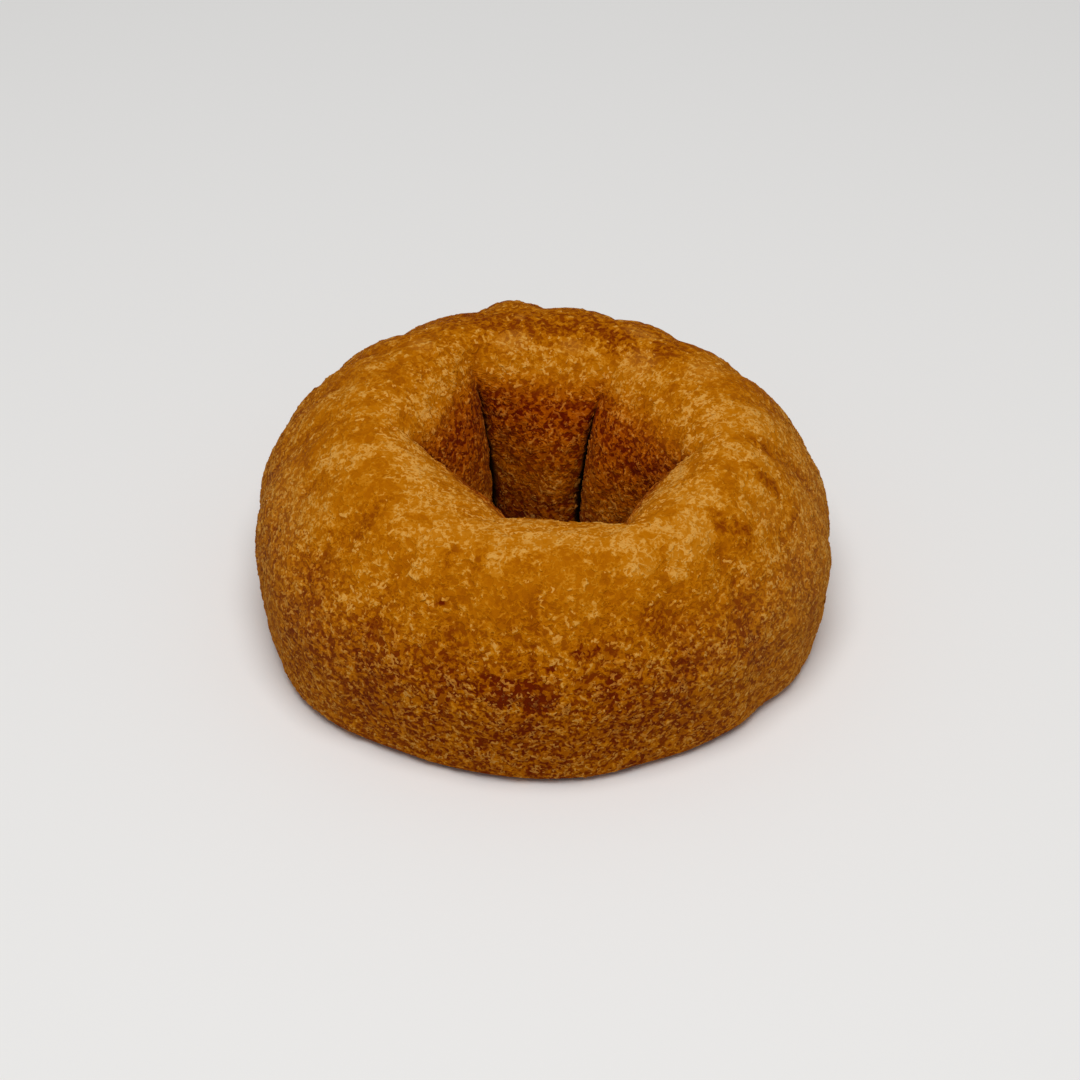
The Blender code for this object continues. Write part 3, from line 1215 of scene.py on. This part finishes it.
@dataclass
class CrustRing:
    """The whole crust, as one closed ring at a fine pitch."""

    form: RingForm = RingForm()
    marks: CrustMarks = CrustMarks()
    zones: CrustZones = CrustZones()
    finish: CrustFinish = CrustFinish()
    ring_steps: int = 540
    section_steps: int = 180
    reliefs: tuple[Relief, ...] = (
        Relief("Lump", Pattern(0.0052, 1.5, 0.5), 0.00034),
        Relief("Flake", Pattern(0.0024, 2.5, 0.6, 0.5), 0.00018, Span(0.44, 0.58)),
        Relief("Grain", Pattern(0.0012, 1.0, 0.5), 0.00018),
    )
    seed: float = 4.0

    def build(self) -> bpy.types.Object:
        """Makes the ring, gives it its relief, and finishes it.

        Returns:
            The crust.
        """
        ring, surface = self._ring_mesh()
        self._store_traits(ring, surface)
        sizes = {"Seed": self.seed}
        for relief in self.reliefs:
            sizes[relief.name + " Size"] = relief.pattern.size
            sizes[relief.name + " Height"] = relief.height
        crust = baked(ring, self._relief_tree(self.finish.material(), sizes), sizes, "crust")
        crust.data.shade_smooth()
        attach(crust, BODY)
        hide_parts(NODE)
        return crust

    def _ring_mesh(self) -> tuple[bpy.types.Object, Surface]:
        """Makes the closed ring of quads.

        Returns:
            The ring, and what the crust goes by at its vertices.
        """
        columns, rows = self.ring_steps, self.section_steps
        index = np.arange(columns * rows)
        column, row = index // rows, index % rows
        surface = self.form.points(column / columns, self.form.even_turns(rows)[row])
        surface.place[:, :2] -= self.form.centre()
        here, after, above = column * rows, ((column + 1) % columns) * rows, (row + 1) % rows
        quads = np.stack([here + row, after + row, after + above, here + above], axis=1)
        mesh = bpy.data.meshes.new("crust_ring")
        mesh.from_pydata(surface.place.tolist(), [], quads.tolist())
        ring = bpy.data.objects.new("crust_ring", mesh)
        bpy.context.collection.objects.link(ring)
        return ring, surface

    def _store_traits(self, ring: bpy.types.Object, surface: Surface) -> None:
        """Writes the crust's traits to the ring's vertices.

        Args:
            ring: the ring.
            surface: what the crust goes by at its vertices.
        """
        patched = (
            self.marks.strength(self.form, surface, patches)
            for patches in (self.marks.fried, self.marks.bare, self.marks.pale)
        )
        for trait, values in self.zones.traits(surface, *patched).items():
            attribute = ring.data.attributes.new(trait.value, "FLOAT", "POINT")
            attribute.data.foreach_set("value", np.ascontiguousarray(values, dtype=np.float32))

    def _relief_tree(
        self, material: bpy.types.Material, sizes: dict[str, float]
    ) -> bpy.types.NodeTree:
        """Makes the tree that raises the relief along the crust's normals.

        Args:
            material: the crust's material.
            sizes: its number inputs.

        Returns:
            The tree.
        """
        graph, given = start_tree(
            "GeometryNodeTree", "crust_relief", "Geometry", sizes, ("Geometry",)
        )
        place = graph.add("GeometryNodeInputPosition").outputs[0]
        heights = []
        for relief in self.reliefs:
            size, height = given[relief.name + " Size"], given[relief.name + " Height"]
            value = graph.noise(place, relief.pattern, size, given["Seed"]).outputs[0]
            if relief.edge:
                value = graph.stepped(value, relief.edge)
            heights.append(graph.product(graph.less(value, MIDDLE), height))
        raised = graph.product(graph.total(*heights), graph.carried(Trait.FREE))
        normal = graph.add("GeometryNodeInputNormal").outputs[0]
        moved = graph.add("GeometryNodeSetPosition", {
            "Geometry": given["Geometry"], "Offset": graph.vector("SCALE", normal, scale=raised),
        })
        finish_tree(graph, moved.outputs[0], material)
        return graph.tree


class CrumbShape(Enum):
    """The kinds of loose crumb."""

    CURL = "curl"
    FLECK = "fleck"


class Draw(Enum):
    """Which random draw each of a crumb's measures comes from."""

    SWING = 1
    SIZE = 2
    TINT = 4


def uneven(step: float, number: int, pace: float, shift: float) -> float:
    """A number from -1 to 1 that changes from step to step, and from one crumb to the next."""
    return math.sin(pace * step + shift * number)


@dataclass
class LooseCrumb:
    """Loose crumb of one kind, scattered over the crust and half sunk in it.

    Attributes:
        shape: which kind it is.
        name: the piece's name.
        count: about how many crumbs it has.
        length, width, height: a crumb's middling size, in metres.
        spread: how far a crumb may turn from lying level, in degrees.
        seed: which of its layouts it is.
        finish: its finish.
        least_size, most_size: the shortest and the longest crumb, as shares of the length.
        least_tint, most_tint: the tints of the darkest and of the palest crumb.
        sparse_tint: the least tint where crumb lies most thinly.
        sunk: the share of its height that a crumb is sunk.
        rim_angle: the edges that stay sharp are bent more than this.
        variants: how many different shapes it has.
        curl_rings: where along a curl its rings stand.
        curl_swing: how far a curl swings to its side, in widths.
        fleck_corners: how many corners a fleck has.
        girth, girth_change: a ring's or a corner's middling reach, and how much it changes.
    """

    shape: CrumbShape
    name: str
    count: int
    length: float
    width: float
    height: float
    spread: float
    seed: int
    finish: CrustFinish = CrustFinish(crumb=True, name="loose_crumb")
    least_size: float = 0.45
    most_size: float = 1.55
    least_tint: float = 0.05
    most_tint: float = 1.20
    sparse_tint: float = 0.7
    sunk: float = 0.42
    rim_angle: float = 100.0
    variants: int = 6
    curl_rings: tuple[float, ...] = (-0.30, -0.09, 0.12, 0.32)
    curl_swing: float = 0.45
    fleck_corners: int = 5
    girth: float = 0.85
    girth_change: float = 0.25

    def build(self, crust: bpy.types.Object) -> bpy.types.Object:
        """Scatters the crumb over the crust.

        Args:
            crust: the crust.

        Returns:
            The piece.
        """
        kinds = self._shapes()
        carrier = bpy.data.objects.new(self.name + "_carrier", crust.data.copy())
        bpy.context.collection.objects.link(carrier)
        material = bpy.data.materials.get(self.finish.name) or self.finish.material()
        sizes = {
            "Density": self.count / self._covered_area(crust.data), "Length": self.length,
            "Width": self.width, "Height": self.height, "Spread": math.radians(self.spread),
            "Seed": self.seed,
        }
        piece = baked(carrier, self._scatter_tree(kinds, material, sizes), sizes, self.name)
        for shape in list(kinds.objects):
            mesh = shape.data
            bpy.data.objects.remove(shape)
            bpy.data.meshes.remove(mesh)
        bpy.data.collections.remove(kinds)
        piece.data.shade_smooth()
        piece.data.set_sharp_from_angle(angle=math.radians(self.rim_angle))
        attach(piece, BODY)
        return piece

    @staticmethod
    def _covered_area(mesh: bpy.types.Mesh) -> float:
        """Adds up the crust's faces, each counted by how thickly crumb lies on it.

        Args:
            mesh: the crust's mesh, all of quads.

        Returns:
            The area in square metres.
        """
        areas = np.empty(len(mesh.polygons), dtype=np.float32)
        mesh.polygons.foreach_get("area", areas)
        corners = np.empty(len(mesh.loops), dtype=np.int32)
        mesh.loops.foreach_get("vertex_index", corners)
        crumbed = np.empty(len(mesh.vertices), dtype=np.float32)
        mesh.attributes[Trait.CRUMBED.value].data.foreach_get("value", crumbed)
        return float((areas * crumbed[corners].reshape(-1, 4).mean(axis=1)).sum())

    def _shapes(self) -> bpy.types.Collection:
        """Makes the crumbs of this kind, one unit long.

        Returns:
            A collection of their own.
        """
        kinds = bpy.data.collections.new(self.name + "_shapes")
        for number in range(self.variants):
            points, faces = self._curl(number) if self.shape is CrumbShape.CURL else self._fleck(number)
            mesh = bpy.data.meshes.new(f"{self.name}_{number}")
            mesh.from_pydata(points, [], faces)
            kinds.objects.link(bpy.data.objects.new(f"{self.name}_{number}", mesh))
        return kinds

    def _curl(self, number: int) -> tuple[list[Place], list[tuple[int, ...]]]:
        """A wandering, uneven thread on a three-sided section.

        Args:
            number: which curl it is.

        Returns:
            Its points and faces.
        """
        points: list[Place] = [(-0.5, 0.0, 0.0)]
        lean = math.cos(0.9 * number + 0.4)
        for step, along in enumerate(self.curl_rings):
            side = self.curl_swing * uneven(step, number, pace=2.3, shift=1.9) * lean
            girth = self.girth + self.girth_change * uneven(step, number, pace=2.9, shift=2.6)
            points += [
                (along, side - 0.5 * girth, -self.sunk),
                (along, side + 0.5 * girth, -self.sunk),
                (along, side, (1.0 - self.sunk) * girth),
            ]
        points.append((0.5, 0.0, 0.0))
        sides = ((0, 1), (1, 2), (2, 0))
        last, tip = len(points) - 4, len(points) - 1
        faces = [(0, 1 + right, 1 + left) for left, right in sides]
        for ring in range(1, last, 3):
            after = ring + 3
            faces += [(ring + left, ring + right, after + right, after + left) for left, right in sides]
        faces += [(last + left, last + right, tip) for left, right in sides]
        return points, faces

    def _fleck(self, number: int) -> tuple[list[Place], list[tuple[int, ...]]]:
        """An uneven grain, with a top and a bottom point.

        Args:
            number: which fleck it is.

        Returns:
            Its points and faces.
        """
        count = self.fleck_corners
        points: list[Place] = []
        for corner in range(count):
            step = corner + 0.3 * uneven(corner, number, pace=2.1, shift=1.7)
            angle = 2.0 * math.pi * step / count
            reach = self.girth + self.girth_change * uneven(corner, number, pace=3.7, shift=2.3)
            points.append((
                0.5 * reach * math.cos(angle), 0.5 * reach * math.sin(angle), -0.8 * self.sunk,
            ))
        points += [(0.03 * number, 0.05, 1.0 - self.sunk), (0.0, 0.0, -2.0 * self.sunk)]
        faces = []
        for corner in range(count):
            after = (corner + 1) % count
            faces += [(corner, after, count), (after, corner, count + 1)]
        return points, faces

    def _scatter_tree(
        self, kinds: bpy.types.Collection, material: bpy.types.Material, sizes: dict[str, float]
    ) -> bpy.types.NodeTree:
        """Makes the tree that lays the crumb out along the crust, and makes it real.

        Args:
            kinds: the crumbs' shapes.
            material: their material.
            sizes: the tree's number inputs.

        Returns:
            The tree.
        """
        graph, given = start_tree(
            "GeometryNodeTree", self.name + "_scatter", "Geometry", sizes, ("Geometry",)
        )
        crumbed = graph.carried(Trait.CRUMBED)
        spots = graph.add("GeometryNodeDistributePointsOnFaces", {
            "Mesh": given["Geometry"], "Density": graph.product(crumbed, given["Density"]),
            "Seed": given["Seed"],
        }, distribute_method="RANDOM")
        size = self._random(graph, self.least_size, self.most_size, given["Seed"], Draw.SIZE)
        crumb_size = graph.add("ShaderNodeCombineXYZ", {
            "X": graph.product(size, given["Length"]), "Y": given["Width"], "Z": given["Height"],
        })
        shapes = graph.add("GeometryNodeCollectionInfo", {
            "Collection": kinds, "Separate Children": True, "Reset Children": True,
        })
        pick = graph.add("FunctionNodeRandomValue", {
            "Min_002": 0, "Max_002": self.variants - 1, "Seed": given["Seed"],
        }, data_type="INT")
        laid = graph.add("GeometryNodeInstanceOnPoints", {
            "Points": spots.outputs["Points"], "Instance": shapes.outputs[0], "Pick Instance": True,
            "Instance Index": pick.outputs[2], "Scale": crumb_size.outputs[0],
            "Rotation": self._turned(graph, spots.outputs["Normal"], given),
        })
        tint = self._random(graph, self.least_tint, self.most_tint, given["Seed"], Draw.TINT)
        tint = graph.math("MAXIMUM", tint, graph.less(self.sparse_tint, crumbed))
        tinted = graph.add("GeometryNodeStoreNamedAttribute", {
            "Geometry": laid.outputs[0], "Name": Trait.CRUMB.value, "Value": tint,
        }, data_type="FLOAT", domain="INSTANCE")
        finish_tree(graph, tinted.outputs[0], material)
        return graph.tree

    def _turned(self, graph: Graph, normal: Socket, given: bpy.types.NodeOutputs) -> Socket:
        """Turns each crumb to lie level along the crust, and then swings it on its spot.

        Args:
            graph: the tree's graph.
            normal: the crust's normal there.
            given: the tree's inputs.

        Returns:
            The rotation.
        """
        level = graph.vector("CROSS_PRODUCT", (0.0, 0.0, 1.0), normal)
        lying = graph.add("FunctionNodeAlignRotationToVector", {"Vector": level}, axis="X")
        upright = graph.add(
            "FunctionNodeAlignRotationToVector", {"Rotation": lying.outputs[0], "Vector": normal},
            axis="Z", pivot_axis="X",
        )
        swing = self._random(graph, -1.0, 1.0, given["Seed"], Draw.SWING)
        twist = graph.add("ShaderNodeCombineXYZ", {"Z": graph.product(swing, given["Spread"])})
        return graph.add(
            "FunctionNodeRotateRotation",
            {"Rotation": upright.outputs[0], "Rotate By": twist.outputs[0]}, rotation_space="LOCAL",
        ).outputs[0]

    @staticmethod
    def _random(graph: Graph, low: float, high: float, seed: Socket, draw: Draw) -> Socket:
        """A random number for each crumb.

        Args:
            graph: the tree's graph.
            low: the least it may be.
            high: the most it may be.
            seed: the tree's seed.
            draw: which draw it comes from.

        Returns:
            The number.
        """
        seed = graph.math("ADD", seed, float(draw.value))
        inputs = {"Min_001": low, "Max_001": high, "Seed": seed}
        return graph.add("FunctionNodeRandomValue", inputs, data_type="FLOAT").outputs[1]


def finish_tree(graph: Graph, geometry: Socket, material: bpy.types.Material) -> None:
    """Ends a geometry node tree in real geometry with its material.

    Args:
        graph: the tree's graph.
        geometry: the geometry.
        material: the material.
    """
    real = graph.add("GeometryNodeRealizeInstances", {0: geometry}).outputs[0]
    dressed = graph.add("GeometryNodeSetMaterial", {"Geometry": real, "Material": material})
    graph.add("NodeGroupOutput", {0: dressed.outputs[0]})


def baked(
    source: bpy.types.Object, tree: bpy.types.NodeTree, sizes: dict[str, float], name: str
) -> bpy.types.Object:
    """Runs a geometry node tree on an object and turns the result into a plain mesh.

    Args:
        source: the object it runs on, which is removed.
        tree: the tree.
        sizes: a value for each of its number inputs.
        name: the new piece's name.

    Returns:
        The new piece, at the origin.
    """
    modifier = source.modifiers.new(tree.name, "NODES")
    modifier.node_group = tree
    for item in tree.interface.items_tree:
        if item.in_out == "INPUT" and item.name in sizes:
            modifier[item.identifier] = sizes[item.name]
    source.update_tag()
    graph = bpy.context.evaluated_depsgraph_get()
    mesh = bpy.data.meshes.new_from_object(source.evaluated_get(graph), depsgraph=graph)
    mesh.name = name
    source.modifiers.remove(modifier)
    piece = bpy.data.objects.new(name, mesh)
    bpy.context.collection.objects.link(piece)
    old = source.data
    bpy.data.objects.remove(source)
    bpy.data.meshes.remove(old)
    return piece


@dataclass
class Studio:
    """A plain pale floor, plain soft light, and the camera at the photograph's angle."""

    floor_radius: float = 1.6
    floor_edges: int = 96
    floor_colour: Colour = (0.88, 0.873, 0.862)
    floor_roughness: float = 0.9
    floor_gloss: float = 0.1
    sky_colour: Colour = (1.0, 1.0, 1.0)
    sky_strength: float = 0.26
    key_place: Place = (-0.01, -0.20, 0.73)
    key_size: float = 0.50
    key_power: float = 4.1
    camera_elevation: float = 40.0
    camera_distance: float = 0.400
    camera_aim: Place = (-0.00043, -0.00513, 0.01309)
    camera_lens: float = 96.63
    sensor_width: float = 36.0
    near_clip: float = 0.01

    def build(self) -> None:
        """Sets up the floor, the lights and the camera."""
        self._floor()
        self._lights()
        self._camera()
        view = bpy.context.scene.view_settings
        view.view_transform = "Standard"
        view.look = "None"

    def _floor(self) -> None:
        """Lays the floor, which isn't part of the object."""
        bpy.ops.mesh.primitive_circle_add(
            vertices=self.floor_edges, radius=self.floor_radius, fill_type="NGON"
        )
        floor = bpy.context.object
        floor.name = "floor"
        material = bpy.data.materials.new("pale_floor")
        material.use_nodes = True
        shader = material.node_tree.nodes["Principled BSDF"]
        shader.inputs["Base Color"].default_value = rgba(self.floor_colour)
        shader.inputs["Roughness"].default_value = self.floor_roughness
        shader.inputs["Specular IOR Level"].default_value = self.floor_gloss
        floor.data.materials.append(material)

    def _lights(self) -> None:
        """Hangs one broad lamp over the doughnut, under an even sky."""
        world = bpy.data.worlds.new("studio_sky")
        world.use_nodes = True
        sky = world.node_tree.nodes["Background"]
        sky.inputs["Color"].default_value = rgba(self.sky_colour)
        sky.inputs["Strength"].default_value = self.sky_strength
        bpy.context.scene.world = world
        lamp = bpy.data.lights.new("key", "AREA")
        lamp.shape, lamp.size, lamp.energy = "DISK", self.key_size, self.key_power
        key = bpy.data.objects.new("key", lamp)
        key.location = self.key_place
        key.rotation_euler = (-Vector(self.key_place)).to_track_quat("-Z", "Y").to_euler()
        bpy.context.collection.objects.link(key)

    def _camera(self) -> None:
        """Puts the camera where the photograph was taken from."""
        data = bpy.data.cameras.new("camera")
        data.sensor_width, data.lens = self.sensor_width, self.camera_lens
        data.clip_start = self.near_clip
        camera = bpy.data.objects.new("camera", data)
        tilt = math.radians(self.camera_elevation)
        back = Vector((0.0, -math.cos(tilt), math.sin(tilt)))
        camera.location = Vector(self.camera_aim) + back * self.camera_distance
        camera.rotation_euler = (QUARTER - tilt, 0.0, 0.0)
        bpy.context.collection.objects.link(camera)
        bpy.context.scene.camera = camera


def main() -> None:
    """Builds the studio and the doughnut, and reports each piece."""
    logging.basicConfig(level=logging.INFO, format="%(name)s: %(message)s")
    Studio().build()
    log.info("studio ready")
    crust = CrustRing().build()
    curls = LooseCrumb(
        CrumbShape.CURL, "crumb_curls", count=8100, length=0.00118, width=0.00062, height=0.00015,
        spread=75.0, seed=11,
    )
    flecks = LooseCrumb(
        CrumbShape.FLECK, "crumb_flecks", count=9000, length=0.00070, width=0.00060, height=0.00016,
        spread=180.0, seed=23,
    )
    for piece in (crust, curls.build(crust), flecks.build(crust)):
        mesh = piece.data
        mesh.calc_loop_triangles()
        log.info("%s: %d vertices, %d triangles", piece.name, len(mesh.vertices), len(mesh.loop_triangles))


if __name__ == "__main__":
    main()
